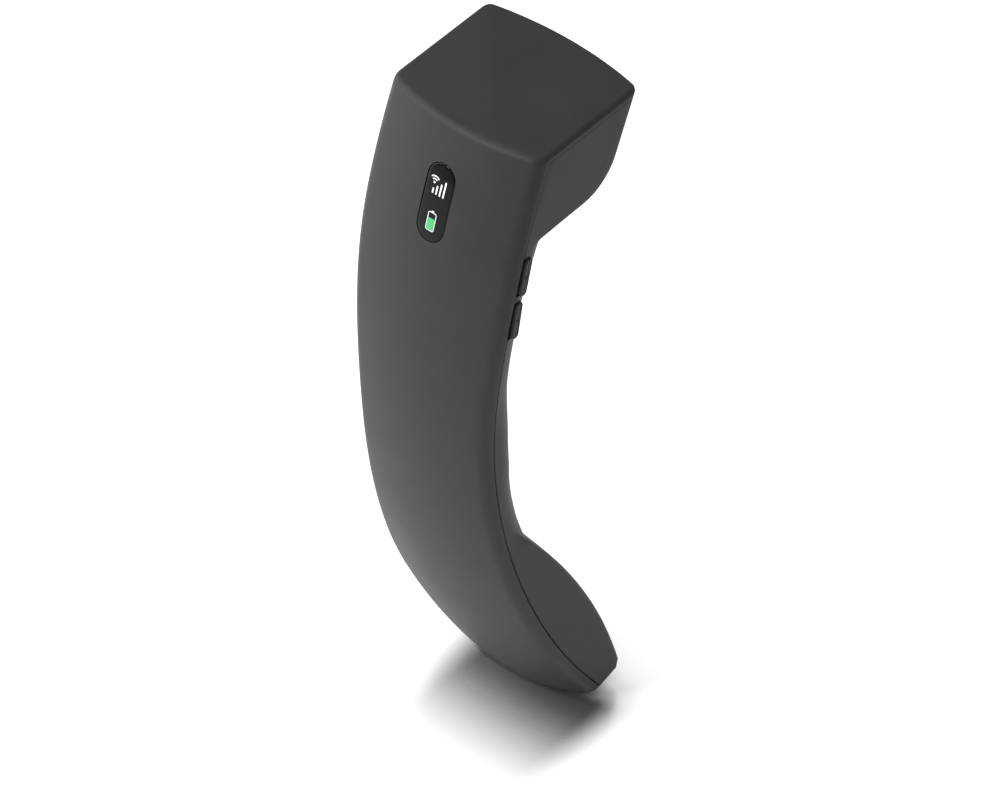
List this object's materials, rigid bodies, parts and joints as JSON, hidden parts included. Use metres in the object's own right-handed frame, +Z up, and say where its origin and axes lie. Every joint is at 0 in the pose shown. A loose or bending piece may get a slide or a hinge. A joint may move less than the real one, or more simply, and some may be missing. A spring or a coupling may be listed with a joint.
{
  "type": "cordless telephone handset",
  "caption": "Curved cordless telephone handset with a flat-topped ear block, a mouth pad, a round-ended status window and side volume keys.",
  "frame": {"origin": "middle of the handset's width and depth, at the level of its lowest point, the mouth end's tip", "axes": "+X to the side with the volume keys, +Y towards the ear and mouth, -Y the back with the window, +Z up to the flat ear end"},
  "size_m": [0.0506, 0.0604, 0.2058],
  "materials": {
    "shell_plastic": "soft-touch charcoal",
    "window_gloss": "polished black lens",
    "display_glass": "dark display glass",
    "key_plastic": "fine matte black",
    "switch_black": "moulded black",
    "board_green": "green solder mask",
    "chip_black": "moulded black",
    "tinned_steel": "tinned sheet",
    "spring_brass": "bare stamped strip",
    "battery_foil": "laminated pouch foil",
    "foam_black": "closed-cell foam",
    "speaker_black": "moulded frame",
    "mesh_cloth": "woven dust cloth",
    "mic_can": "drawn can",
    "soft_rubber": "moulded soft rubber",
    "socket_steel": "formed sheet",
    "screw_steel": "blackened steel",
    "wire_red": "insulation",
    "wire_white": "insulation"
  },
  "bodies": {
    "casing": {"back_shell": "shell_plastic", "front_shell": "shell_plastic", "display_window": "window_gloss", "display_gasket": "foam_black", "display_module": "display_glass", "side_switches": "switch_black", "call_switch": "switch_black", "call_board": "board_green", "main_board": "board_green", "board_chips": "chip_black", "radio_shield": "tinned_steel", "antenna": "spring_brass", "battery_cell": "battery_foil", "battery_pad": "foam_black", "earpiece_speaker": "speaker_black", "speaker_gasket": "foam_black", "earpiece_mesh": "mesh_cloth", "microphone": "mic_can", "microphone_boot": "soft_rubber", "charge_socket": "socket_steel", "case_screws": "screw_steel", "board_screws": "screw_steel", "screw_plugs": "soft_rubber", "battery_wires": "wire_red", "speaker_wires": "wire_white", "microphone_wires": "wire_white", "call_wires": "wire_white"},
    "volume_up_key": {"volume_up_button": "key_plastic"},
    "volume_down_key": {"volume_down_button": "key_plastic"},
    "call_key": {"call_button": "key_plastic"}
  },
  "joints": [
    {"name": "volume_up_press", "type": "slide", "parent": "casing", "child": "volume_up_key", "axis": [-1, 0, 0], "range_m": [0, 0.0004], "stiffness_N_per_m": 800},
    {"name": "volume_down_press", "type": "slide", "parent": "casing", "child": "volume_down_key", "axis": [-1, 0, 0], "range_m": [0, 0.0004], "stiffness_N_per_m": 800},
    {"name": "call_press", "type": "slide", "parent": "casing", "child": "call_key", "axis": [0, -1, 0], "range_m": [0, 0.0004], "stiffness_N_per_m": 800}
  ]
}
